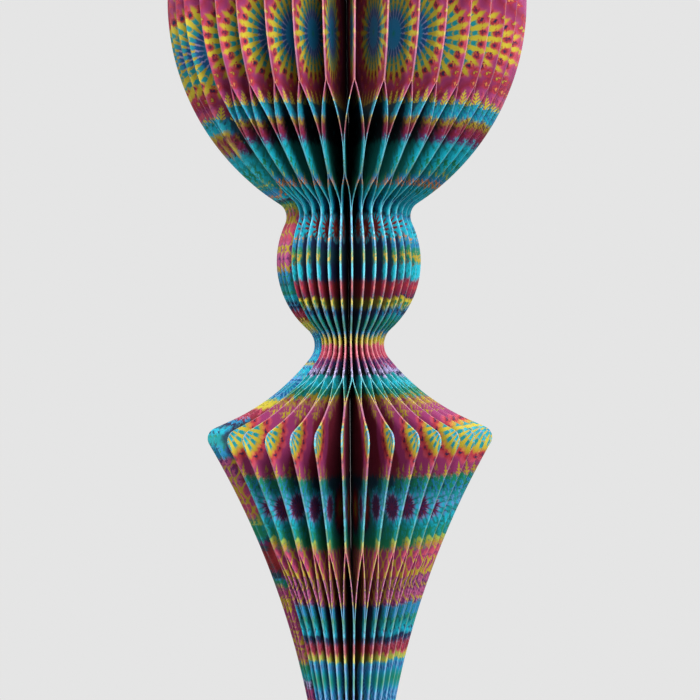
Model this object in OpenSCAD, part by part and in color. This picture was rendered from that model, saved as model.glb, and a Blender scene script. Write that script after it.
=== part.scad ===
// Hanging paper finial. Flat leaves with a half-finial outline stand round a
// narrow spine channel, and each leaf is glued to one neighbour at some heights
// and to its other neighbour at others, so that the closed stack fans out into
// a body of revolution. Millimetres, +Z up, with the origin on the axis at the
// top end of the leaves, where a hanging cord or rod enters the channel.

/* [Ball] */
// Widest radius of the ball
ball_r = 53.7; // [51:0.1:57]
// Radius of the arc that draws the ball's side
ball_arc = 71.4; // [66:0.1:78]
// Width of the flat end that each leaf keeps beside the channel at the top
top_land = 1.35; // [0.8:0.05:3]

/* [Bulb and necks] */
// Depth from the ball's widest level down to the bulb's widest level
bulb_drop = 77.7; // [75:0.1:81]
// Widest radius of the small bulb
bulb_r = 21.6; // [20:0.1:23.5]
// Radius of the arc that draws the bulb's side
bulb_arc = 27; // [24:0.1:30]
// Radius of the hollow curve between the ball and the bulb
neck_round = 4.8; // [3.5:0.1:7]
// Radius of the waist under the bulb
waist_r = 10.4; // [9:0.1:12]
// Radius of the hollow curve at the waist
waist_round = 6.2; // [5:0.1:8]

/* [Skirt] */
// Widest radius of the skirt, at its rim
rim_r = 42.6; // [40:0.1:46]
// Radius of the rounded rim
rim_round = 3.3; // [2:0.1:4.5]
// Radius of the hollow arc between the waist and the shoulder
shoulder_arc = 63; // [54:0.5:70]
// Steepness at which the waist passes into the shoulder, from the vertical
shoulder_start = 38; // [34:1:42]
// Steepness of the shoulder where it meets the rim, from the vertical
shoulder_end = 66; // [62:1:69]
// Radius of the hollow arc of the long taper
taper_arc = 252; // [235:1:270]
// Steepness of the taper just under the rim, from the vertical
taper_start = 30; // [28:0.5:32]
// Steepness of the straight end of the taper, from the vertical
taper_end = 10; // [9:0.5:12]
// Radius of the round tip at the bottom
tip_r = 5.5; // [5.2:0.1:6.5]

/* [Paper] */
// Thickness of one leaf
paper_t = 0.22; // [0.16:0.01:0.28]
// Thickness of the glue film between two bonded leaves
glue_film = 0.02; // [0.01:0.005:0.04]
// Number of pairs of leaves in the stack
pair_count = 38; // [34:1:40]
// Radius of the channel that the leaves' inner edges leave round the axis
channel_r = 4.15; // [3.8:0.05:5]

/* [Fan] */
// Direction of the closing seam, seen from above
seam_angle = -146.1; // [-180:0.1:180]
// Extra opening that the closing seam keeps between the first and last leaf
seam_gap = 6; // [2:0.5:10]
// How far round the glued leaves of the skirt have crept from an even fan
skirt_creep = 6; // [0:0.5:8]
// How sharply two leaves part under a glue line, 1 for evenly
parting = 1.6; // [1:0.1:2.5]

/* [Glue lines] */
// Length of the glue line round the ball's widest level
ball_glue = 57.6; // [50:0.1:62]
// Depth from the ball's widest level to the short glue line under it
under_ball_drop = 47.4; // [45:0.1:50]
// Length of that short glue line
under_ball_glue = 6.6; // [4:0.1:9]
// Reach of the bulb's glue line above the middle of the neck
above_neck_glue = 0.6; // [0.2:0.1:3]
// Depth under the waist at which the bulb's glue line ends
under_waist_glue = 10.2; // [8:0.1:12]
// Reach of the skirt's glue line above the centre of the rim's round
above_rim_glue = 10; // [8:0.1:11.5]
// Reach of the skirt's glue line below the centre of the rim's round
below_rim_glue = 32; // [26:0.5:38]
// Free length between the skirt's glue line and the tip's
taper_free = 23.7; // [18:0.1:30]

/* [Hidden] */
$fn = 180;
RIGHT = 0;
LEFT = 1;
LEFT_CREPT = 2;
leaf_count = 2 * pair_count;
leaf_step = (360 - seam_gap) / leaf_count;
leaf_pitch = paper_t + glue_film;
// How far the taper's arc cuts into the rim's round, so that the two cross
rim_bite = 0.02;
// Radius at which the leaves would touch if they reached further in
hinge_r = leaf_pitch / (2 * sin(leaf_step / 2));

// A point at distance d1 from c1 and d2 from c2, outward of the line between
function meet(c1, d1, c2, d2) =
    let (gap = c2 - c1, far = norm(gap), along = gap / far)
    let (reach = (d1 * d1 - d2 * d2 + far * far) / (2 * far))
    c1 + reach * along + sqrt(d1 * d1 - reach * reach) * [-along[1], along[0]];

// A unit step outward and up from the horizontal by an angle
function step_at(angle) = [cos(angle), sin(angle)];

// Outline of the finial in radius and height: centres of the arcs, and the
// points where each passes smoothly into the next, from the top down
top_r = channel_r + top_land;
ball_z = -sqrt(pow(ball_arc, 2) - pow(top_r - ball_r + ball_arc, 2));
ball_c = [ball_r - ball_arc, ball_z];
bulb_c = [bulb_r - bulb_arc, ball_z - bulb_drop];
neck_c = meet(ball_c, ball_arc + neck_round, bulb_c, bulb_arc + neck_round);
ball_end = ball_c + (neck_c - ball_c) * ball_arc / (ball_arc + neck_round);
bulb_start = bulb_c + (neck_c - bulb_c) * bulb_arc / (bulb_arc + neck_round);
waist_x = waist_r + waist_round;
waist_fall = sqrt(pow(bulb_arc + waist_round, 2) - pow(waist_x - bulb_c[0], 2));
waist_c = [waist_x, bulb_c[1] - waist_fall];
bulb_end = bulb_c + (waist_c - bulb_c) * bulb_arc / (bulb_arc + waist_round);
waist_end = waist_c - waist_round * step_at(shoulder_start);
shoulder_c = waist_end + shoulder_arc * step_at(shoulder_start);
shoulder_far = shoulder_c - shoulder_arc * step_at(shoulder_end);
rim_x = rim_r - rim_round;
rim_fall = (rim_round + (rim_x - shoulder_far[0]) * cos(shoulder_end)) / sin(shoulder_end);
rim_c = [rim_x, shoulder_far[1] - rim_fall];
rim_start = rim_c + rim_round * step_at(shoulder_end);
rim_end = rim_c + rim_round * step_at(-taper_start);
taper_c = rim_end + (taper_arc - rim_bite) * step_at(-taper_start);
taper_far = taper_c - taper_arc * step_at(-taper_end);
tip_fall = (taper_far[0] * cos(taper_end) - tip_r) / sin(taper_end);
tip_c = [0, taper_far[1] - tip_fall];
tip_start = tip_c + tip_r * step_at(-taper_end);
tip_z = tip_c[1] - tip_r;

// Glue lines from the top down: where each starts, where it ends, and whether
// it bonds a leaf to its right or its left neighbour
glue_lines = [
    [0, ball_z + under_ball_drop, LEFT],
    [ball_z + ball_glue / 2, ball_z - ball_glue / 2, RIGHT],
    [ball_z - under_ball_drop, ball_z - under_ball_drop - under_ball_glue, LEFT],
    [neck_c[1] + above_neck_glue, waist_c[1] - under_waist_glue, RIGHT],
    [rim_c[1] + above_rim_glue, rim_c[1] - below_rim_glue, LEFT_CREPT],
    [rim_c[1] - below_rim_glue - taper_free, tip_z, RIGHT]
];
// Steps in which a leaf swings over between two glue lines
swing_steps = [2, 3, 2, 2, 3];

// How far round from the seam a leaf is hinged
function hinge_turn(i) = seam_gap / 2 + (i + 0.5) * leaf_step;

// How far round a leaf stands where it is glued to one neighbour. The first
// and last leaves meet at the seam, where they stay unglued and straight.
function right_turn(i) = i == 0 || i == leaf_count - 1
    ? hinge_turn(i)
    : seam_gap / 2 + 2 * floor((i + 1) / 2) * leaf_step;
function left_turn(i) = seam_gap / 2 + (2 * floor(i / 2) + 1) * leaf_step;
function glued_turn(i, bond) = bond == RIGHT
    ? right_turn(i)
    : left_turn(i) - (bond == LEFT_CREPT ? skirt_creep * cos(left_turn(i)) : 0);

// Height and turn of a leaf at the ends of each glue line and between them
function mix(a, b, share) = a + (b - a) * share;
function eased(share) = 1 - pow(1 - share, parting);
function stations(i) = [
    for (k = [0 : len(glue_lines) - 1])
        let (line = glue_lines[k], turn = glued_turn(i, line[2]))
        each concat(
            [[line[0], turn], [line[1], turn]],
            k == len(glue_lines) - 1 ? [] : [
                let (next = glue_lines[k + 1], steps = swing_steps[k])
                for (m = [1 : steps - 1])
                    [mix(line[1], next[0], m / steps),
                     mix(turn, glued_turn(i, next[2]), eased(m / steps))]
            ])
];

// The half outline, from the channel's wall to the cut edge of a leaf
module hollow_arc(start, centre, end, radius) {
    difference() {
        straight(start, end);
        translate(centre) circle(radius);
    }
}

module full_arc(centre, radius) {
    translate(centre) circle(radius);
}

module straight(start, end) {
    polygon([[0, end[1]], end, start, [0, start[1]]]);
}

// The rounded rim and the taper under it
module rim_and_taper() {
    difference() {
        union() {
            full_arc(rim_c, rim_round);
            polygon([[0, rim_c[1]], [0, taper_far[1]], taper_far,
                     rim_end + step_at(-taper_start), rim_c]);
        }
        translate(taper_c) circle(taper_arc);
    }
}

module leaf_outline() {
    intersection() {
        union() {
            full_arc(ball_c, ball_arc);
            hollow_arc(ball_end, neck_c, bulb_start, neck_round);
            full_arc(bulb_c, bulb_arc);
            hollow_arc(bulb_end, waist_c, waist_end, waist_round);
            hollow_arc(waist_end, shoulder_c, shoulder_far, shoulder_arc);
            straight(shoulder_far, rim_start);
            straight(rim_start, rim_c);
            rim_and_taper();
            straight(taper_far, tip_start);
            full_arc(tip_c, tip_r);
        }
        translate([channel_r, tip_z]) square([ball_r, -tip_z]);
    }
}

// The space that all the leaves fill as they turn about the axis
module leaf_sweep() {
    rotate_extrude() leaf_outline();
}

// A strip of paper that stands out from the spine and swings from side to
// side down its height, longer and wider than the leaf that is cut from it
module leaf_strip(i) {
    spare = 1;
    hinge = hinge_r * step_at(seam_angle + hinge_turn(i));
    cuts = stations(i);
    last = len(cuts) - 1;
    corners = [
        for (j = [0 : last])
            let (
                z = cuts[j][0] + (j == 0 ? spare : j == last ? -spare : 0),
                out = step_at(seam_angle + cuts[j][1]),
                side = paper_t / 2 * [-out[1], out[0]],
                far = hinge + ball_r * out
            )
            each [
                for (p = [hinge + side, far + side, far - side, hinge - side])
                    [p[0], p[1], z]
            ]
    ];
    walls = [
        for (j = [0 : last - 1], e = [0 : 3])
            let (a = 4 * j + e, b = 4 * j + (e + 1) % 4)
            each e == 2
                ? [[a, b + 4, b], [a, a + 4, b + 4]]
                : [[a, a + 4, b], [b, a + 4, b + 4]]
    ];
    ends = [[0, 1, 2], [0, 2, 3], [4 * last, 4 * last + 2, 4 * last + 1],
            [4 * last, 4 * last + 3, 4 * last + 2]];
    polyhedron(corners, concat(walls, ends));
}

// Leaves cut to the outline, by their numbers in the stack
module cut_leaves(numbers) {
    color("darkcyan") intersection() {
        union() for (i = numbers) leaf_strip(i);
        leaf_sweep();
    }
}

// Two leaves that are glued face to face at the ball, the bulb and the tip
module leaf_pair(k) {
    cut_leaves([2 * k - 1, 2 * k]);
}

// The two outer leaves of the stack, which meet at the closing seam
module first_leaf() {
    cut_leaves([0]);
}

module last_leaf() {
    cut_leaves([leaf_count - 1]);
}

function pair_name(k) = str("leaf_pair_", k < 10 ? "0" : "", k);
PAIRS = [1 : pair_count - 1];

first_leaf();
for (k = PAIRS) leaf_pair(k);
last_leaf();
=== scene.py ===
"""A hanging finial of fanned paper leaves with a tie-dye print, on a pale studio ground."""
import random
from math import atan2, cos, floor, hypot, pi, radians, sin, sqrt

import bmesh
import bpy
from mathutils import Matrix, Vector


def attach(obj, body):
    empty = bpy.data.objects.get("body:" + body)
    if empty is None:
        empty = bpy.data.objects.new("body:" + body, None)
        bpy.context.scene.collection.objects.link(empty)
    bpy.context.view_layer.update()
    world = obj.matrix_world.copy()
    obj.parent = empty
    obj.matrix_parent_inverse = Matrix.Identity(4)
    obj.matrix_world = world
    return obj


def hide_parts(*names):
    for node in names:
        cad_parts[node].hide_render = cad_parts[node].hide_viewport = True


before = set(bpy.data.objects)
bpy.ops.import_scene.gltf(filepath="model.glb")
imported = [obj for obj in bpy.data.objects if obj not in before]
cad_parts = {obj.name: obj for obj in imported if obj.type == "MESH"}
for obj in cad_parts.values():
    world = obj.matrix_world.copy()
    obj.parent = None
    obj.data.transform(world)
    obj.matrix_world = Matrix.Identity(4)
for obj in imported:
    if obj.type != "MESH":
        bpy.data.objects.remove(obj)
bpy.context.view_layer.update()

# Outline of a leaf, in millimetres of radius and height from the top of the spine channel.
CHANNEL_R = 4.15
TOP_R = CHANNEL_R + 1.35
BALL_R, BALL_ARC = 53.7, 71.4
BULB_DROP, BULB_R, BULB_ARC = 77.7, 21.6, 27.0
NECK_ROUND, WAIST_R, WAIST_ROUND = 4.8, 10.4, 6.2
RIM_R, RIM_ROUND = 42.6, 3.3
SHOULDER_ARC, SHOULDER_START, SHOULDER_END = 63.0, 38, 66
TAPER_ARC, TAPER_START, TAPER_END, TIP_R = 252.0, 30, 10, 5.5

# Paper and fan.
PAPER_T, GLUE_FILM, PAIRS = 0.22, 0.02, 38
LEAVES = 2 * PAIRS
SEAM_ANGLE, SEAM_GAP, SKIRT_CREEP, PARTING = -146.1, 6.0, 6.0, 1.6
LEAF_STEP = (360 - SEAM_GAP) / LEAVES
HINGE_R = (PAPER_T + GLUE_FILM) / (2 * sin(radians(LEAF_STEP / 2)))
# Faces across a leaf, and the angle in degrees past which an edge is drawn sharp.
COLUMNS, CRISP_ANGLE = 4, 40
RIGHT, LEFT, LEFT_CREPT = range(3)


def step_at(angle, length=1.0):
    return length * cos(radians(angle)), length * sin(radians(angle))


def moved(point, step):
    return point[0] + step[0], point[1] + step[1]


def between(a, b, share):
    return a[0] + (b[0] - a[0]) * share, a[1] + (b[1] - a[1]) * share


def meet(a, reach_a, b, reach_b):
    """The point at reach_a from a and reach_b from b, on the outer side."""
    far = hypot(b[0] - a[0], b[1] - a[1])
    along = (b[0] - a[0]) / far, (b[1] - a[1]) / far
    foot = (reach_a**2 - reach_b**2 + far**2) / (2 * far)
    rise = sqrt(reach_a**2 - foot**2)
    return a[0] + foot * along[0] - rise * along[1], a[1] + foot * along[1] + rise * along[0]


BALL_Z = -sqrt(BALL_ARC**2 - (TOP_R - BALL_R + BALL_ARC) ** 2)
BALL_C = (BALL_R - BALL_ARC, BALL_Z)
BULB_C = (BULB_R - BULB_ARC, BALL_Z - BULB_DROP)
NECK_C = meet(BALL_C, BALL_ARC + NECK_ROUND, BULB_C, BULB_ARC + NECK_ROUND)
BALL_END = between(BALL_C, NECK_C, BALL_ARC / (BALL_ARC + NECK_ROUND))
BULB_START = between(BULB_C, NECK_C, BULB_ARC / (BULB_ARC + NECK_ROUND))
WAIST_X = WAIST_R + WAIST_ROUND
WAIST_C = (WAIST_X, BULB_C[1] - sqrt((BULB_ARC + WAIST_ROUND) ** 2 - (WAIST_X - BULB_C[0]) ** 2))
BULB_END = between(BULB_C, WAIST_C, BULB_ARC / (BULB_ARC + WAIST_ROUND))
WAIST_END = moved(WAIST_C, step_at(SHOULDER_START, -WAIST_ROUND))
SHOULDER_C = moved(WAIST_END, step_at(SHOULDER_START, SHOULDER_ARC))
SHOULDER_FAR = moved(SHOULDER_C, step_at(SHOULDER_END, -SHOULDER_ARC))
RIM_X = RIM_R - RIM_ROUND
RIM_C = (
    RIM_X,
    SHOULDER_FAR[1]
    - (RIM_ROUND + (RIM_X - SHOULDER_FAR[0]) * cos(radians(SHOULDER_END))) / sin(radians(SHOULDER_END)),
)
RIM_START = moved(RIM_C, step_at(SHOULDER_END, RIM_ROUND))
RIM_END = moved(RIM_C, step_at(-TAPER_START, RIM_ROUND))
TAPER_C = moved(RIM_END, step_at(-TAPER_START, TAPER_ARC))
TAPER_FAR = moved(TAPER_C, step_at(-TAPER_END, -TAPER_ARC))
TIP_C = (0.0, TAPER_FAR[1] - (TAPER_FAR[0] * cos(radians(TAPER_END)) - TIP_R) / sin(radians(TAPER_END)))
TIP_START = moved(TIP_C, step_at(-TAPER_END, TIP_R))
TIP_LAST = moved(TIP_C, step_at(-40, TIP_R))

# Glue lines from the top down: where each starts and ends, and which neighbour it holds a leaf to.
GLUE_LINES = [
    (0.0, BALL_Z + 47.4, LEFT),
    (BALL_Z + 28.8, BALL_Z - 28.8, RIGHT),
    (BALL_Z - 47.4, BALL_Z - 54.0, LEFT),
    (NECK_C[1] + 0.6, WAIST_C[1] - 10.2, RIGHT),
    (RIM_C[1] + 10.0, RIM_C[1] - 32.0, LEFT_CREPT),
    (RIM_C[1] - 55.7, TIP_C[1] - TIP_R, RIGHT),
]


def arc(centre, start, end, steps):
    """Points along an arc about a centre, without the first."""
    first = atan2(start[1] - centre[1], start[0] - centre[0])
    turn = atan2(end[1] - centre[1], end[0] - centre[0]) - first
    turn = (turn + pi) % (2 * pi) - pi
    radius = hypot(start[0] - centre[0], start[1] - centre[1])
    return [
        (centre[0] + radius * cos(first + turn * k / steps), centre[1] + radius * sin(first + turn * k / steps))
        for k in range(1, steps + 1)
    ]


def line(start, end, steps):
    return [between(start, end, k / steps) for k in range(1, steps + 1)]


def cut_edge():
    """Points down the cut edge of a leaf, as radius and height in millimetres."""
    top = (TOP_R, 0.0)
    return (
        [top]
        + arc(BALL_C, top, BALL_END, 84)
        + arc(NECK_C, BALL_END, BULB_START, 8)
        + arc(BULB_C, BULB_START, BULB_END, 24)
        + arc(WAIST_C, BULB_END, WAIST_END, 9)
        + arc(SHOULDER_C, WAIST_END, SHOULDER_FAR, 20)
        + line(SHOULDER_FAR, RIM_START, 3)
        + arc(RIM_C, RIM_START, RIM_END, 12)
        + arc(TAPER_C, RIM_END, TAPER_FAR, 52)
        + line(TAPER_FAR, TIP_START, 24)
        + arc(TIP_C, TIP_START, TIP_LAST, 3)
    )


def hinge_turn(leaf):
    return SEAM_GAP / 2 + (leaf + 0.5) * LEAF_STEP


def glued_turn(leaf, bond):
    """How far round from the seam a leaf stands where it is glued to one neighbour."""
    if bond == RIGHT:
        if leaf in (0, LEAVES - 1):
            return hinge_turn(leaf)
        return SEAM_GAP / 2 + 2 * floor((leaf + 1) / 2) * LEAF_STEP
    turn = SEAM_GAP / 2 + (2 * floor(leaf / 2) + 1) * LEAF_STEP
    return turn - (SKIRT_CREEP * cos(radians(turn)) if bond == LEFT_CREPT else 0)


# Degrees by which a stack that is fanned by hand departs from an even fan, for each glue line and pair.
FAN_SEED, SMALL_SPREAD = 38, 0.2
hand_spread = random.Random(FAN_SEED)
SPREAD = [[hand_spread.uniform(-SMALL_SPREAD, SMALL_SPREAD) for _ in range(PAIRS + 1)] for _ in GLUE_LINES]
# The pairs at the front of the ball and of the skirt stand as in the photo.
SPREAD[1][:14] = [-0.9, -0.3, -1.1, -0.3, -0.6, -0.7, -0.5, 0.3, 0.8, 1.0, 1.1, 0.7, -0.1, -1.1]
SPREAD[4][:15] = [-2.3, -1.6, 0.7, 2.0, 1.9, 2.2, 2.4, 1.9, 2.2, 2.0, 1.8, 2.3, 2.4, 1.6, 0.8]
# One pair at the back leans over, so that the camera sees no light through the spine channel.
LEAN = 2.4
for row, (pair, side) in enumerate([(24, 1), (25, 1), (24, 1), (25, 1), (24, -1), (25, 1)]):
    SPREAD[row][pair] = side * LEAN


def set_turn(leaf, row):
    """A glued turn with the small unevenness of a stack that is fanned by hand."""
    bond = GLUE_LINES[row][2]
    group = (leaf + 1) // 2 if bond == RIGHT else leaf // 2
    return glued_turn(leaf, bond) + SPREAD[row][group]


def turn_at(leaf, z):
    """How far round a leaf stands at a height, swinging over between two glue lines."""
    for row, (start, end, _) in enumerate(GLUE_LINES):
        if z >= end:
            if z <= start or row == 0:
                return set_turn(leaf, row)
            above = GLUE_LINES[row - 1][1]
            share = (above - z) / (above - start)
            share = 1 - (1 - share) ** PARTING
            return set_turn(leaf, row - 1) + (set_turn(leaf, row) - set_turn(leaf, row - 1)) * share
    return set_turn(leaf, len(GLUE_LINES) - 1)


# The last quarter of the leaves is cut from another part of the printed sheet, and all are off by a little.
OTHER_CUT, OTHER_SHEET = 3 * LEAVES // 4, 60
CUT_SEED, OFF_ACROSS, OFF_UP = 12, 0.3, 0.25
sheet_cut = random.Random(CUT_SEED)
SHEET_SHIFT = [
    (sheet_cut.gauss(OTHER_SHEET if leaf >= OTHER_CUT else 0, OFF_ACROSS), sheet_cut.gauss(0, OFF_UP))
    for leaf in range(LEAVES)
]

EDGE = cut_edge()


def add_leaf(mesh, leaf):
    """Adds one leaf as a flat grid that is laid along its outline and swung round the axis."""
    where = mesh.verts.layers.float_vector["sheet"]
    hinge = step_at(SEAM_ANGLE + hinge_turn(leaf), HINGE_R)
    grid = bmesh.ops.create_grid(mesh, x_segments=COLUMNS, y_segments=len(EDGE) - 1, size=0.5)
    for vert in grid["verts"]:
        edge_r, z = EDGE[round((0.5 - vert.co.y) * (len(EDGE) - 1))]
        r = CHANNEL_R + (edge_r - CHANNEL_R) * (vert.co.x + 0.5)
        out = step_at(SEAM_ANGLE + turn_at(leaf, z))
        along = hinge[0] * out[0] + hinge[1] * out[1]
        reach = -along + sqrt(along**2 - HINGE_R**2 + r**2)
        vert.co = (
            (hinge[0] + reach * out[0]) / 1000,
            (hinge[1] + reach * out[1]) / 1000,
            z / 1000,
        )
        vert[where] = (r + SHEET_SHIFT[leaf][0], z + SHEET_SHIFT[leaf][1], edge_r - r)


def leaf_piece(name, node, leaves, print_material, edge_material):
    """The leaves of one CAD node as one piece, thickened to the paper's thickness."""
    mesh = bmesh.new()
    mesh.verts.layers.float_vector.new("sheet")
    for leaf in leaves:
        add_leaf(mesh, leaf)
    bmesh.ops.recalc_face_normals(mesh, faces=mesh.faces)
    for face in mesh.faces:
        face.smooth = True
    data = bpy.data.meshes.new(name)
    mesh.to_mesh(data)
    mesh.free()
    piece = bpy.data.objects.new(name, data)
    bpy.context.scene.collection.objects.link(piece)
    data.materials.append(print_material)
    data.materials.append(edge_material)
    paper = piece.modifiers.new("paper", "SOLIDIFY")
    paper.thickness = PAPER_T / 1000
    paper.offset = 0
    paper.material_offset_rim = 1
    crisp = piece.modifiers.new("crisp cut", "EDGE_SPLIT")
    crisp.split_angle = radians(CRISP_ANGLE)
    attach(piece, "root")
    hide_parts(node)


def srgb(red, green, blue):
    """A colour as seen on screen, from 0 to 255, made linear."""
    return tuple(
        c / 12.92 if c <= 0.04045 else ((c + 0.055) / 1.055) ** 2.4 for c in (red / 255, green / 255, blue / 255)
    ) + (1.0,)


MAGENTA, PINK, ROSE = srgb(148, 48, 104), srgb(174, 78, 126), srgb(186, 70, 94)
CRIMSON, RED, ORANGE = srgb(136, 28, 60), srgb(176, 48, 58), srgb(202, 128, 66)
YELLOW, GOLD, LIME = srgb(196, 180, 46), srgb(174, 150, 32), srgb(156, 176, 76)
CYAN, TEAL, GREEN = srgb(0, 172, 194), srgb(0, 138, 144), srgb(10, 126, 90)
BLUE, INDIGO, NAVY, DEEP_TEAL = srgb(24, 128, 176), srgb(10, 82, 140), srgb(18, 30, 72), srgb(4, 54, 72)
PURPLE, LAVENDER, BLACK = srgb(98, 38, 100), srgb(158, 146, 194), srgb(12, 18, 26)
WINE, OLIVE, RUST = srgb(112, 16, 44), srgb(96, 92, 20), srgb(120, 20, 26)
SEA, SKY = srgb(0, 114, 108), srgb(80, 146, 196)

# Bands of dye down the sheet: the height where each starts, its colour at the cut edge, the colour that mottles
# it, and the darker colour away from the edge, which is partly dye and partly painted shade deep in the fan.
BALL_BANDS = [
    (-40, MAGENTA, PINK, WINE),
    (-92.6, MAGENTA, CRIMSON, WINE),
    (-97.4, MAGENTA, ROSE, WINE),
    (-100.8, BLUE, GREEN, DEEP_TEAL),
    (-102.4, CYAN, BLUE, DEEP_TEAL),
    (-105.3, GOLD, CRIMSON, BLACK),
    (-107.2, CRIMSON, MAGENTA, BLACK),
    (-110.2, PURPLE, CYAN, BLACK),
    (-111.8, CYAN, TEAL, SEA),
    (-114.6, CYAN, GREEN, SEA),
    (-118.8, TEAL, LIME, SEA),
    (-121.2, BLUE, ORANGE, GREEN),
    (-123.6, CYAN, GREEN, SEA),
    (-126.6, CYAN, BLUE, NAVY),
]
BULB_BANDS = [
    (-130.2, CYAN, BLUE, DEEP_TEAL),
    (-137.4, CYAN, ORANGE, DEEP_TEAL),
    (-139.0, BLUE, TEAL, NAVY),
    (-142.0, GREEN, GOLD, DEEP_TEAL),
    (-146.3, CYAN, TEAL, NAVY),
    (-151.3, CRIMSON, RED, RUST),
    (-154.0, CRIMSON, NAVY, WINE),
    (-156.3, YELLOW, GREEN, OLIVE),
    (-159.2, BLUE, NAVY, NAVY),
    (-161.6, TEAL, GREEN, DEEP_TEAL),
    (-165.8, BLUE, TEAL, NAVY),
    (-167.2, GOLD, LIME, OLIVE),
    (-169.9, ROSE, CRIMSON, RUST),
    (-174.4, PURPLE, MAGENTA, NAVY),
    (-177.0, LAVENDER, NAVY, BLACK),
]
SKIRT_BANDS = [
    (-179.4, TEAL, CYAN, DEEP_TEAL),
    (-182.2, GREEN, TEAL, DEEP_TEAL),
    (-185.2, GOLD, MAGENTA, CRIMSON),
    (-187.4, MAGENTA, GOLD, WINE),
    (-208.2, GREEN, BLUE, DEEP_TEAL),
    (-212.4, TEAL, SKY, SEA),
    (-219.0, TEAL, CYAN, SEA),
    (-223.4, GREEN, TEAL, SEA),
]
TAPER_BANDS = [
    (-226.6, LIME, GREEN, GREEN),
    (-228.0, GOLD, PINK, GREEN),
    (-229.6, ROSE, MAGENTA, MAGENTA),
    (-238.0, PINK, PURPLE, WINE),
    (-246.4, BLUE, GREEN, NAVY),
    (-250.0, TEAL, GREEN, DEEP_TEAL),
    (-253.4, CYAN, BLUE, NAVY),
    (-255.6, NAVY, BLUE, BLACK),
    (-257.8, CRIMSON, ROSE, RUST),
    (-261.0, YELLOW, LIME, OLIVE),
    (-264.2, BLUE, CYAN, NAVY),
    (-274.0, GOLD, YELLOW, OLIVE),
]
# For each part of the print: its bands, the height where they end, how torn the darker colour away from the edge is,
# and how far from the cut edge that painted shade starts and is full.
PARTS = [
    (BALL_BANDS, -131, 1.8, 2.6, 5.4),
    (BULB_BANDS, -180, 0.9, 0.6, 2.2),
    (SKIRT_BANDS, -227, 2.4, 5.0, 10.0),
    (TAPER_BANDS, -276, 1.2, 1.2, 3.6),
]
# How far each way a band bleeds into the next, and one part into the next.
BAND_BLEED, PART_BLEED = 0.6, 0.4
# The heights about which the print is mirrored: in the middle of the ball and near the tip.
BALL_MIRROR, TIP_MIRROR = -67.5, -274.0
# How a leaf that is cut elsewhere lies on the sheet: raised on the ball, dropped below CUT_LOW, and moved inwards.
CUT_LOW, CUT_RAISED, CUT_DROPPED, CUT_ASIDE = -127.0, 3.0, -98.0, -7.0


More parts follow.
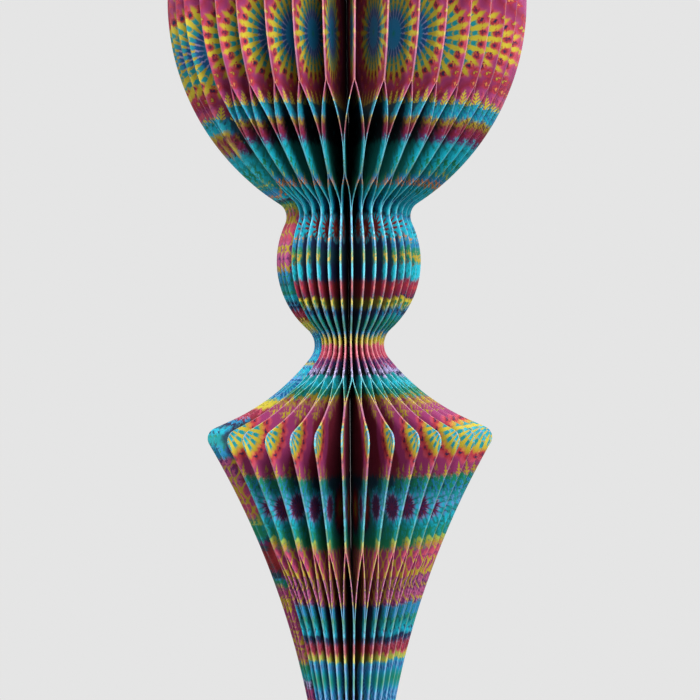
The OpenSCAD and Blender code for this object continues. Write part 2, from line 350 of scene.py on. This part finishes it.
class Sheet:
    """Builds the printed sheet's shader nodes in one material."""

    def __init__(self, material):
        self.tree = material.node_tree
        self.tree.nodes.clear()

    def node(self, kind, **settings):
        made = self.tree.nodes.new(kind)
        for name, value in settings.items():
            setattr(made, name, value)
        return made

    def feed(self, socket, value):
        if isinstance(value, bpy.types.NodeSocket):
            self.tree.links.new(value, socket)
        else:
            socket.default_value = value

    def calc(self, operation, *values):
        made = self.node("ShaderNodeMath", operation=operation)
        for socket, value in zip(made.inputs, values):
            self.feed(socket, value)
        return made.outputs[0]

    def total(self, *values):
        found = values[0]
        for value in values[1:]:
            found = self.calc("ADD", found, value)
        return found

    def span(self, value, low, high, to_low=0.0, to_high=1.0, smooth=True):
        made = self.node("ShaderNodeMapRange", interpolation_type="SMOOTHSTEP" if smooth else "LINEAR")
        for name, setting in (
            ("Value", value),
            ("From Min", low),
            ("From Max", high),
            ("To Min", to_low),
            ("To Max", to_high),
        ):
            self.feed(made.inputs[name], setting)
        return made.outputs[0]

    def vector(self, x, y, z=0.0):
        made = self.node("ShaderNodeCombineXYZ")
        for socket, value in zip(made.inputs, (x, y, z)):
            self.feed(socket, value)
        return made.outputs[0]

    def noise(self, x, y, scale, detail=2.0, roughness=0.5, seed=0.0):
        """Noise over the sheet, from about -1 to 1."""
        made = self.node("ShaderNodeTexNoise", noise_dimensions="3D")
        self.feed(made.inputs["Vector"], self.vector(x, y, seed))
        made.inputs["Scale"].default_value = scale
        made.inputs["Detail"].default_value = detail
        made.inputs["Roughness"].default_value = roughness
        return self.calc("MULTIPLY_ADD", made.outputs[0], 3.0, -1.5)

    def mix(self, share, first, second):
        made = self.node("ShaderNodeMix", data_type="RGBA")
        for socket, value in zip((made.inputs[0], made.inputs[6], made.inputs[7]), (share, first, second)):
            self.feed(socket, value)
        return made.outputs[2]

    def ramp(self, value, low, high, stops):
        """A colour ramp over a span of millimetres, from stops of place and colour."""
        made = self.node("ShaderNodeValToRGB")
        ramp = made.color_ramp
        stops = sorted((min(max((place - low) / (high - low), 0.0), 1.0), colour) for place, colour in stops)
        while len(ramp.elements) < len(stops):
            ramp.elements.new(0.5)
        for element, (place, colour) in zip(ramp.elements, stops):
            element.position = place
            element.color = colour
        self.feed(made.inputs[0], self.span(value, low, high, smooth=False))
        return made.outputs[0]

    def bands(self, height, mottle, dye_patch_and_shade, bands, end):
        """Bands of dye, each of which bleeds into the next, mottled with a second colour, and turned to a darker
        colour in dye patches and in painted shade deep from the cut edge.
        """
        start = bands[0][0]
        found = []
        for column in (1, 2, 3):
            stops = [(-start, bands[0][column])]
            for above, below in zip(bands, bands[1:]):
                stops += [(-below[0] - BAND_BLEED, above[column]), (-below[0] + BAND_BLEED, below[column])]
            found.append(self.ramp(self.calc("MULTIPLY", height, -1.0), -start, -end, stops))
        return self.mix(dye_patch_and_shade, self.mix(mottle, found[0], found[1]), found[2])

    def mandala(self, r, z, centre, rays, petal, taper, on_ray, off_ray, reach, squash=1.0, stars=None):
        """Rings of dye with rays about a centre on the sheet, as a colour, a distance and a turn.

        The petals run into each other where taper starts, and have thinned out where it ends. Between the
        two reaches in stars, the colour off the rays narrows to points.
        """
        across = self.calc("MULTIPLY", self.calc("SUBTRACT", r, centre[0]), squash)
        up = self.calc("SUBTRACT", z, centre[1])
        far = self.calc("SQRT", self.total(self.calc("MULTIPLY", across, across), self.calc("MULTIPLY", up, up)))
        turn = self.calc("ARCTAN2", up, across)
        wave = self.calc("COSINE", self.calc("MULTIPLY", turn, float(rays)))
        rings = self.calc("MULTIPLY_ADD", wave, petal, far)
        thinned = self.span(far, taper[0], taper[1], -0.9, 0.5, smooth=False)
        if stars:
            thinned = self.calc("SUBTRACT", thinned, self.span(far, stars[0], stars[1], 0.0, 1.9, smooth=False))
        colour = self.mix(
            self.span(self.calc("SUBTRACT", wave, thinned), -0.4, 0.4),
            self.ramp(rings, 0.0, reach, off_ray),
            self.ramp(rings, 0.0, reach, on_ray),
        )
        return colour, far, turn

    def eyes(self, colour, far, turn, rough, count, ring, size, offset=0.0, middle=NAVY):
        """A ring of red eyes with dark centres about a mandala, each a little torn."""
        cell = self.calc("PINGPONG", self.calc("MULTIPLY_ADD", turn, count / (2 * pi), offset), 0.5)
        aside = self.calc("MULTIPLY", self.calc("MULTIPLY", cell, far), 2 * pi / count)
        along = self.calc("SUBTRACT", far, ring)
        gap = self.calc(
            "SQRT", self.total(self.calc("MULTIPLY", aside, aside), self.calc("MULTIPLY", along, along))
        )
        gap = self.calc("MULTIPLY_ADD", rough, size * 1.1, gap)
        colour = self.mix(self.span(gap, size * 1.5, size * 0.9), colour, RED)
        colour = self.mix(self.span(gap, size, size * 0.6), colour, CRIMSON)
        return self.mix(self.span(gap, size * 0.6, size * 0.2), colour, middle)

    def ferns(self, colour, r, z, foot, tip, pitch, leaf_colour):
        """Rows of small ferns that point up or down the sheet."""
        aside = self.calc("PINGPONG", r, pitch / 2)
        grown = self.span(z, foot, tip, smooth=False)
        spread = self.calc("MULTIPLY", self.calc("SUBTRACT", 1.0, grown), pitch * 0.42)
        rise = 1.0 if tip > foot else -1.0
        branch = self.calc(
            "PINGPONG", self.calc("MULTIPLY_ADD", aside, -0.9, self.calc("MULTIPLY", z, rise)), 0.55
        )
        blade = self.span(branch, 0.34, 0.2)
        stem = self.span(aside, 0.32, 0.12)
        inside = self.span(self.calc("SUBTRACT", spread, aside), 0.0, 0.25)
        alive = self.calc("MULTIPLY", self.span(grown, 0.0, 0.05), self.span(grown, 1.0, 0.93))
        share = self.calc("MULTIPLY", self.calc("MULTIPLY", self.calc("MAXIMUM", blade, stem), inside), alive)
        return self.mix(share, colour, leaf_colour)

    def print_and_shade_colour(self):
        """The tie-dye print of a leaf at each point of its sheet, with painted shade that darkens it deeper from the
        cut edge.
        """
        place = self.node("ShaderNodeAttribute", attribute_name="sheet")
        parts = self.node("ShaderNodeSeparateXYZ")
        self.feed(parts.inputs[0], place.outputs["Vector"])
        r, z, depth = parts.outputs
        other = self.calc("GREATER_THAN", r, OTHER_SHEET - 2.0)
        real_r = self.calc("MULTIPLY_ADD", other, -OTHER_SHEET, r)
        fine = self.noise(r, z, scale=1.1, detail=3.0, roughness=0.6, seed=11.0)
        # Cut elsewhere, a leaf has the ball's print a little higher and the taper's on its bulb and skirt.
        low_down = self.span(self.calc("MULTIPLY_ADD", fine, 0.8, z), CUT_LOW, CUT_LOW - 0.1)
        raised = self.calc("MULTIPLY_ADD", low_down, CUT_DROPPED - CUT_RAISED, CUT_RAISED)
        z = self.calc("MULTIPLY_ADD", other, raised, z)
        r = self.calc("MULTIPLY_ADD", other, CUT_ASIDE, real_r)
        # The upper half of the ball mirrors the lower, and the tip mirrors the taper above it.
        off_middle = self.calc("ABSOLUTE", self.calc("ADD", z, -BALL_MIRROR))
        below = self.calc("MULTIPLY_ADD", off_middle, -1.0, BALL_MIRROR)
        off_tip = self.calc("ABSOLUTE", self.calc("ADD", below, -TIP_MIRROR))
        z = self.calc("SUBTRACT", off_tip, -TIP_MIRROR)
        soft = self.noise(r, z, scale=0.16, seed=3.0)
        streak = self.noise(r, self.calc("MULTIPLY", z, 0.4), scale=0.95, detail=3.0, roughness=0.6, seed=7.0)
        leafy = self.noise(r, self.calc("MULTIPLY", z, 0.6), scale=0.8, roughness=0.55, seed=23.0)
        teeth = self.calc("PINGPONG", self.calc("MULTIPLY_ADD", soft, 0.5, r), 1.5)
        height = self.total(
            z,
            self.calc("MULTIPLY", streak, 0.9),
            self.calc("MULTIPLY", soft, 0.5),
            self.calc("MULTIPLY", fine, 0.7),
            self.calc("MULTIPLY_ADD", teeth, 0.6, -0.45),
        )
        mottle = self.span(self.total(streak, self.calc("MULTIPLY", fine, 0.7)), 0.0, 0.3)
        patches = self.span(leafy, 0.3, 0.55, 0.0, 0.8)
        colour = None
        for listed, end, torn, dark_from, dark_at in PARTS:
            # Painted shade: deeper from the cut edge, where the grooves of the fan are deep, each band turns to its
            # darker colour.
            deep_in_shade = self.span(self.total(depth, self.calc("MULTIPLY", leafy, torn)), dark_from, dark_at)
            dyed = self.bands(height, mottle, self.calc("MAXIMUM", deep_in_shade, patches), listed, end)
            if colour is None:
                # Teal dashes deep in under the ball.
                dashes = self.calc("MULTIPLY", self.span(height, -105.6, -106.6), self.span(height, -119.0, -116.0))
                dashes = self.calc("MULTIPLY", dashes, self.span(streak, 0.3, 0.6))
                colour = self.mix(self.calc("MULTIPLY", dashes, deep_in_shade), dyed, TEAL)
            else:
                start = listed[0][0]
                colour = self.mix(self.span(height, start + PART_BLEED, start - PART_BLEED), colour, dyed)
        # A net of yellow threads between rosy blobs on the taper.
        net = self.total(
            self.calc("COSINE", self.calc("MULTIPLY", r, 2 * pi / 4.0)),
            self.calc("COSINE", self.calc("MULTIPLY", z, 2 * pi / 6.0)),
            self.calc("MULTIPLY", self.total(streak, fine), 0.45),
        )
        rows = self.calc("MULTIPLY", self.span(height, -228.6, -229.8), self.span(height, -247.0, -245.8))
        threads = self.span(self.calc("ABSOLUTE", net), 0.62, 0.12)
        colour = self.mix(self.calc("MULTIPLY", rows, threads), colour, GOLD)
        colour = self.ferns(colour, r, z, foot=-101.8, tip=-95.2, pitch=4.4, leaf_colour=YELLOW)
        return colour, r, z, real_r, other, height, fine


# How milky the dye is, how much paper shows in a cut edge, and between which radii painted shade turns it black to
# the spine.
MILKY, PALE_EDGE = 0.014, 0.13
SPINE_SHADE_START_R, SPINE_SHADE_FULL_R = 10.0, 5.5

# Three plain flowers, on the bulb, inside the skirt and at the tip: the centre, the number of rays, how far the
# petals stand out, where they taper, the rings on the rays and between them, the reach and the two ends of the fade.
PLAIN_FLOWERS = [
    (
        (14.4, -135.8), 16, 0.5, (0.8, 4.8),
        [(0, ORANGE), (0.9, RUST), (4.4, RUST), (6, CYAN)],
        [(0, ORANGE), (0.9, RUST), (2.0, RUST), (2.6, CYAN), (6, CYAN)],
        6.0, 4.9, 4.3,
    ),
    (
        (14.0, -218.0), 14, 0.8, (1.0, 9.0),
        [(0, GOLD), (2.4, GOLD), (3.4, RED), (6.2, RUST), (8.0, PURPLE), (10, TEAL)],
        [(0, GOLD), (1.6, OLIVE), (2.6, RED), (4.6, RUST), (6.0, DEEP_TEAL), (10, DEEP_TEAL)],
        10.0, 8.4, 7.4,
    ),
    (
        (14.8, -269.2), 22, 0.3, (2.4, 6.4),
        [(0, GREEN), (2.0, TEAL), (3.2, BLUE), (4.6, INDIGO), (5.6, BLUE), (6.4, TEAL), (8.0, GOLD)],
        [(0, GREEN), (2.0, TEAL), (3.0, CYAN), (3.6, SKY), (4.6, SKY), (5.4, CYAN), (6.4, GOLD), (8, GOLD)],
        8.0, 6.6, 5.8,
    ),
]


def printed_paper_and_shade(name):
    """Satin card with the print on it, and painted shade: darker deeper from the cut edge and black beside the spine.
    """
    material = bpy.data.materials.new(name)
    material.use_nodes = True
    sheet = Sheet(material)
    colour, r, z, real_r, other, height, fine = sheet.print_and_shade_colour()
    colour = add_mandalas(sheet, colour, r, z, other, height, fine)
    # The dye is a little milky, and painted shade turns it black beside the spine, deep in the fan.
    colour = sheet.mix(MILKY, colour, srgb(216, 216, 216))
    colour = sheet.mix(sheet.span(real_r, SPINE_SHADE_START_R, SPINE_SHADE_FULL_R), colour, BLACK)
    return material, sheet, colour


def add_mandalas(sheet, colour, r, z, other, height, fine):
    """The mandalas and starbursts, from the ball down to the taper."""
    ragged = sheet.calc("MULTIPLY", fine, 0.7)
    wander_r = sheet.calc("MULTIPLY_ADD", fine, 0.3, r)
    wander_z = sheet.calc("MULTIPLY_ADD", fine, 0.3, z)

    rings, far, turn = sheet.mandala(
        wander_r,
        wander_z,
        centre=(35.8, -81.4),
        rays=22,
        petal=0.4,
        taper=(4.8, 12.4),
        on_ray=[
            (0, GREEN), (0.6, TEAL), (1.2, BLUE), (4.4, BLUE), (5.0, INDIGO), (6.6, INDIGO), (7.2, BLUE), (7.8, TEAL),
            (8.7, TEAL), (9.1, GOLD), (9.5, TEAL), (10.8, TEAL), (11.3, GOLD), (12.6, ORANGE), (13.4, ROSE),
            (14.4, MAGENTA), (16.6, CRIMSON), (18.0, MAGENTA), (19.4, PINK), (22, MAGENTA),
        ],
        off_ray=[
            (0, GREEN), (0.6, TEAL), (1.2, BLUE), (3.6, BLUE), (4.1, LAVENDER), (5.8, LAVENDER), (6.6, GOLD),
            (7.4, GOLD), (9.0, YELLOW), (12.0, YELLOW), (13.4, GOLD), (15.4, ROSE), (16.4, MAGENTA), (22, MAGENTA),
        ],
        reach=22.0,
        squash=0.84,
        stars=(10.6, 15.4),
    )
    rings = sheet.eyes(rings, far, turn, fine, count=22, ring=12.2, size=0.9)
    rings = sheet.eyes(rings, far, turn, fine, count=11, ring=14.9, size=1.0, offset=0.5, middle=GOLD)
    rings = sheet.eyes(rings, far, turn, fine, count=22, ring=17.2, size=1.0, offset=0.5, middle=ORANGE)
    cover = sheet.calc("MULTIPLY", sheet.span(sheet.total(far, ragged), 20.6, 17.6), sheet.span(height, -98.6, -97.2))
    colour = sheet.mix(cover, colour, rings)

    # A sunburst under the ball, on the leaves that are cut elsewhere alone.
    rings, far, _ = sheet.mandala(
        wander_r,
        wander_z,
        centre=(35.5, -114.0),
        rays=22,
        petal=0.3,
        taper=(1.6, 6.6),
        on_ray=[(0, LAVENDER), (0.8, BLUE), (2.6, BLUE), (3.4, CYAN), (5.6, TEAL), (6.4, GOLD), (12, GOLD)],
        off_ray=[(0, BLUE), (1.6, LAVENDER), (2.4, YELLOW), (6.6, GOLD), (12, OLIVE)],
        reach=12.0,
    )
    colour = sheet.mix(sheet.calc("MULTIPLY", sheet.span(sheet.total(far, ragged), 7.6, 6.2), other), colour, rings)

    # The sunburst on the rim of the skirt, with a ring of eyes and ferns below it.
    rings, far, turn = sheet.mandala(
        wander_r,
        wander_z,
        centre=(44.2, -193.4),
        rays=20,
        petal=0.5,
        taper=(2.0, 9.6),
        on_ray=[
            (0, LAVENDER), (0.8, BLUE), (3.4, BLUE), (4.4, TEAL), (5.4, CYAN), (5.8, GOLD), (6.2, TEAL), (7.8, TEAL),
            (8.4, GOLD), (9.6, ORANGE), (11.0, RED), (13.0, MAGENTA), (18, MAGENTA),
        ],
        off_ray=[
            (0, BLUE), (1.4, LAVENDER), (2.2, LAVENDER), (3.2, GOLD), (6.0, YELLOW), (8.4, GOLD), (9.8, RED),
            (11.8, ROSE), (12.8, MAGENTA), (18, MAGENTA),
        ],
        reach=18.0,
    )
    rings = sheet.eyes(rings, far, turn, fine, count=24, ring=10.6, size=0.8, offset=0.5)
    rings = sheet.ferns(rings, r, z, foot=-209.0, tip=-203.6, pitch=3.4, leaf_colour=GOLD)
    cover = sheet.span(sheet.calc("ADD", far, ragged), 17.0, 15.4)
    cover = sheet.calc("MULTIPLY", cover, sheet.span(height, -208.8, -207.8))
    colour = sheet.mix(cover, colour, rings)

    for centre, rays, petal, taper, on_ray, off_ray, reach, fade_end, fade_start in PLAIN_FLOWERS:
        rings, far, _ = sheet.mandala(wander_r, wander_z, centre, rays, petal, taper, on_ray, off_ray, reach)
        colour = sheet.mix(sheet.span(sheet.total(far, ragged), fade_end, fade_start), colour, rings)

    # A torn flower in the middle of the skirt.
    rings, far, _ = sheet.mandala(
        wander_r,
        wander_z,
        centre=(27.0, -217.0),
        rays=9,
        petal=1.2,
        taper=(0.6, 6.0),
        on_ray=[
            (0, WINE), (1.6, PURPLE), (2.6, NAVY), (3.4, WINE), (4.4, PURPLE), (5.2, SKY), (6.2, CYAN), (8, TEAL),
        ],
        off_ray=[(0, WINE), (1.0, PURPLE), (1.8, NAVY), (2.6, LAVENDER), (3.2, CYAN), (4.6, SEA), (8, TEAL)],
        reach=8.0,
    )
    return sheet.mix(sheet.span(sheet.calc("MULTIPLY_ADD", fine, 2.6, far), 6.6, 4.8), colour, rings)


def finish_paper(name, edge):
    """Ends the print in satin paper, or in the pale cut edge that takes a tint from it."""
    material, sheet, colour = printed_paper_and_shade(name)
    shader = sheet.node("ShaderNodeBsdfPrincipled")
    spot = sheet.node("ShaderNodeTexCoord").outputs["Object"]
    grain = sheet.node("ShaderNodeTexNoise")
    grain.inputs["Scale"].default_value = 2600
    grain.inputs["Detail"].default_value = 3
    sheet.feed(grain.inputs["Vector"], spot)
    if edge:
        colour = sheet.mix(PALE_EDGE, colour, srgb(222, 218, 214))
        shader.inputs["Roughness"].default_value = 0.8
    else:
        sheet.feed(shader.inputs["Roughness"], sheet.span(grain.outputs[0], 0.3, 0.7, 0.36, 0.5))
        bump = sheet.node("ShaderNodeBump")
        bump.inputs["Strength"].default_value = 0.12
        bump.inputs["Distance"].default_value = 0.00002
        sheet.feed(bump.inputs["Height"], grain.outputs[0])
        sheet.feed(shader.inputs["Normal"], bump.outputs[0])
    sheet.feed(shader.inputs["Base Color"], colour)
    out = sheet.node("ShaderNodeOutputMaterial")
    sheet.feed(out.inputs["Surface"], shader.outputs[0])
    return material


tie_dye_and_painted_shade_card = finish_paper("tie_dye_and_painted_shade_card", edge=False)
cut_card_edge = finish_paper("cut_card_edge", edge=True)

leaf_piece("leaf_first", "first_leaf", [0], tie_dye_and_painted_shade_card, cut_card_edge)
for pair in range(1, PAIRS):
    leaf_piece(
        f"leaves_{pair:02d}", f"leaf_pair_{pair:02d}", [2 * pair - 1, 2 * pair], tie_dye_and_painted_shade_card, cut_card_edge
    )
leaf_piece("leaf_last", "last_leaf", [LEAVES - 1], tie_dye_and_painted_shade_card, cut_card_edge)

# Studio: a pale ground far below, a pale surround, and three soft lamps, from above, from the left and from low down
# on the right.
GROUND_R, GROUND_Z = 3.0, -0.9
ground_mesh = bmesh.new()
bmesh.ops.create_circle(ground_mesh, cap_ends=True, segments=96, radius=GROUND_R)
bmesh.ops.translate(ground_mesh, verts=ground_mesh.verts, vec=(0, 0, GROUND_Z))
ground_data = bpy.data.meshes.new("ground")
ground_mesh.to_mesh(ground_data)
ground_mesh.free()
ground = bpy.data.objects.new("ground", ground_data)
bpy.context.scene.collection.objects.link(ground)
ground_paint = bpy.data.materials.new("pale_ground")
ground_paint.use_nodes = True
ground_nodes, ground_links = ground_paint.node_tree.nodes, ground_paint.node_tree.links
ground_shader = ground_nodes["Principled BSDF"]
ground_shader.inputs["Roughness"].default_value = 0.9
looked_at = ground_nodes.new("ShaderNodeLightPath")
ground_tone = ground_nodes.new("ShaderNodeMix")
ground_tone.data_type = "RGBA"
ground_tone.inputs[6].default_value = srgb(96, 96, 96)
ground_tone.inputs[7].default_value = srgb(226, 226, 226)
ground_links.new(looked_at.outputs["Is Camera Ray"], ground_tone.inputs[0])
ground_links.new(ground_tone.outputs[2], ground_shader.inputs["Base Color"])
ground_data.materials.append(ground_paint)

LIT_POINT = (0, 0, -0.17)


def soft_lamp(name, azimuth, height, reach, width, tall, watts):
    """A soft box that looks at the middle of the ornament. Azimuth 0 is the camera's side."""
    lamp = bpy.data.lights.new(name, "AREA")
    lamp.shape = "RECTANGLE"
    lamp.size, lamp.size_y, lamp.energy = width, tall, watts
    held = bpy.data.objects.new(name, lamp)
    bpy.context.scene.collection.objects.link(held)
    spot = Vector((reach * sin(radians(azimuth)), -reach * cos(radians(azimuth)), height))
    held.location = spot
    held.rotation_euler = (Vector(LIT_POINT) - spot).to_track_quat("-Z", "Y").to_euler()


soft_lamp("key_lamp", azimuth=14, height=0.72, reach=1.2, width=0.6, tall=0.4, watts=29)
soft_lamp("side_lamp", azimuth=-36, height=0.16, reach=1.3, width=0.4, tall=0.5, watts=12)
soft_lamp("low_lamp", azimuth=40, height=-0.42, reach=1.3, width=0.5, tall=0.5, watts=10)

AMBIENT, BACKDROP = 0.43, 1.0
world = bpy.data.worlds.new("studio")
world.use_nodes = True
bpy.context.scene.world = world
nodes, links = world.node_tree.nodes, world.node_tree.links
nodes.clear()
path = nodes.new("ShaderNodeLightPath")
seen = nodes.new("ShaderNodeMath")
seen.operation = "MAXIMUM"
links.new(path.outputs["Is Camera Ray"], seen.inputs[0])
links.new(path.outputs["Is Transmission Ray"], seen.inputs[1])
ambient = nodes.new("ShaderNodeBackground")
ambient.inputs[1].default_value = AMBIENT
facing = nodes.new("ShaderNodeTexCoord")
split = nodes.new("ShaderNodeSeparateXYZ")
links.new(facing.outputs["Generated"], split.inputs[0])
overhead = nodes.new("ShaderNodeMapRange")
for name, value in (("From Min", -0.1), ("From Max", 0.9), ("To Min", 0.12), ("To Max", 1.0)):
    overhead.inputs[name].default_value = value
links.new(split.outputs[2], overhead.inputs[0])
links.new(overhead.outputs[0], ambient.inputs[0])
backdrop = nodes.new("ShaderNodeBackground")
backdrop.inputs[0].default_value = srgb(229, 229, 229)
backdrop.inputs[1].default_value = BACKDROP
either = nodes.new("ShaderNodeMixShader")
links.new(seen.outputs[0], either.inputs[0])
links.new(ambient.outputs[0], either.inputs[1])
links.new(backdrop.outputs[0], either.inputs[2])
world_out = nodes.new("ShaderNodeOutputWorld")
links.new(either.outputs[0], world_out.inputs[0])

# The picture is 700 px wide, and the lens 2200 px away from it.
PICTURE_PX, LENS_PX, SENSOR_MM = 700, 2200, 36
CAMERA_SPOT, CAMERA_TILT, CAMERA_ROLL = (0.0002, -0.66, -0.17165), 90, 0.37
camera_data = bpy.data.cameras.new("camera")
camera_data.sensor_fit = "HORIZONTAL"
camera_data.sensor_width = SENSOR_MM
camera_data.lens = SENSOR_MM * LENS_PX / PICTURE_PX
camera_data.clip_start, camera_data.clip_end = 0.01, 20
camera = bpy.data.objects.new("camera", camera_data)
bpy.context.scene.collection.objects.link(camera)
camera.location = CAMERA_SPOT
camera.rotation_euler = (radians(CAMERA_TILT), radians(CAMERA_ROLL), 0)
bpy.context.scene.camera = camera
bpy.context.scene.view_settings.view_transform = "Standard"
